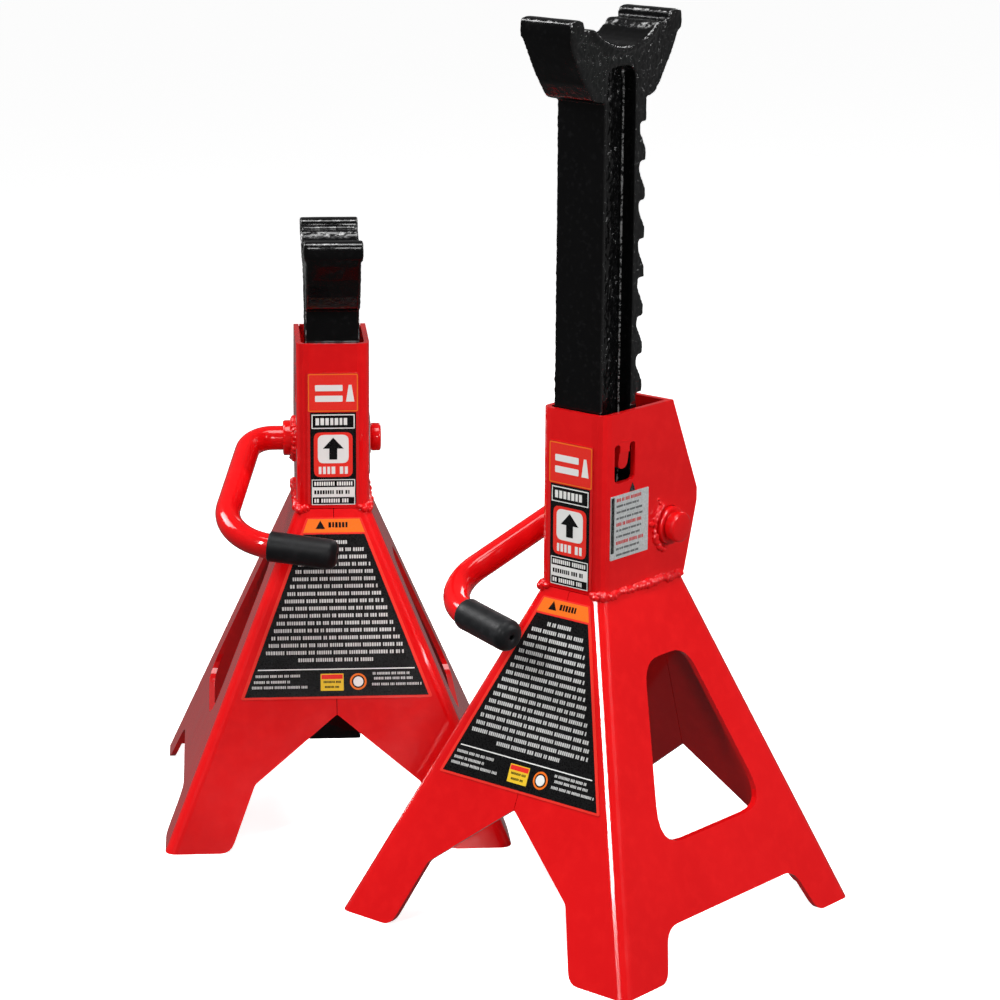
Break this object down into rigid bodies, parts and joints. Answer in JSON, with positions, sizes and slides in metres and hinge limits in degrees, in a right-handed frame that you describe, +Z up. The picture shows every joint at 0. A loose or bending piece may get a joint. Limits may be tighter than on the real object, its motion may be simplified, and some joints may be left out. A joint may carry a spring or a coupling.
{
  "type": "axle jack stands",
  "caption": "Pair of ratchet axle jack stands: sheet-steel pyramid bases, cast toothed columns with saddles, pawl handles with rubber grips.",
  "frame": {"origin": "on the floor, in the middle of the box round both stands", "axes": "+Z up; stand a's labelled front faces -Y; stand b is turned 45 degrees clockwise seen from above"},
  "size_m": [0.3126, 0.3556, 0.405],
  "materials": {
    "red_paint": "gloss powder coat",
    "black_casting": "gloss black paint on rough cast iron",
    "grip_rubber": "smooth dipped rubber",
    "bare_steel": "bare, lightly oiled",
    "front_print": "printed gloss vinyl",
    "side_print": "printed silver vinyl"
  },
  "bodies": {
    "a_stand": {"a_base_shell_left": "red_paint", "a_base_shell_right": "red_paint", "a_tower_channel": "red_paint", "a_tower_back_plate": "red_paint", "a_pivot_bush_left": "red_paint", "a_pivot_bush_right": "red_paint", "a_tower_label": "front_print", "a_base_label": "front_print", "a_side_label": "side_print"},
    "a_column": {"a_ratchet_column": "black_casting"},
    "a_handle": {"a_handle_rod": "red_paint", "a_handle_grip": "grip_rubber", "a_pawl": "bare_steel", "a_pawl_pin": "bare_steel"},
    "b_stand": {"b_base_shell_left": "red_paint", "b_base_shell_right": "red_paint", "b_tower_channel": "red_paint", "b_tower_back_plate": "red_paint", "b_pivot_bush_left": "red_paint", "b_pivot_bush_right": "red_paint", "b_tower_label": "front_print", "b_base_label": "front_print", "b_side_label": "side_print"},
    "b_column": {"b_ratchet_column": "black_casting"},
    "b_handle": {"b_handle_rod": "red_paint", "b_handle_grip": "grip_rubber", "b_pawl": "bare_steel", "b_pawl_pin": "bare_steel"}
  },
  "joints": [
    {"name": "a_column_slide", "type": "slide", "parent": "a_stand", "child": "a_column", "axis": [0, 0, 1], "range_m": [0, 0.136]},
    {"name": "a_handle_hinge", "type": "hinge", "parent": "a_stand", "child": "a_handle", "pos_m": [-0.07383, 0.11965, 0.1765], "axis": [-1, 0, 0], "range_deg": [-9.5, 26]},
    {"name": "b_column_slide", "type": "slide", "parent": "b_stand", "child": "b_column", "axis": [0, 0, 1], "range_m": [-0.119, 0.017]},
    {"name": "b_handle_hinge", "type": "hinge", "parent": "b_stand", "child": "b_handle", "pos_m": [0.05912, -0.0445, 0.1765], "axis": [-0.7071, 0.7071, 0], "range_deg": [-9.5, 26]},
    {"name": "second_stand_slide", "type": "slide", "parent": "a_stand", "child": "b_stand", "axis": [1, 0, 0], "range_m": [0, 0.06]}
  ]
}
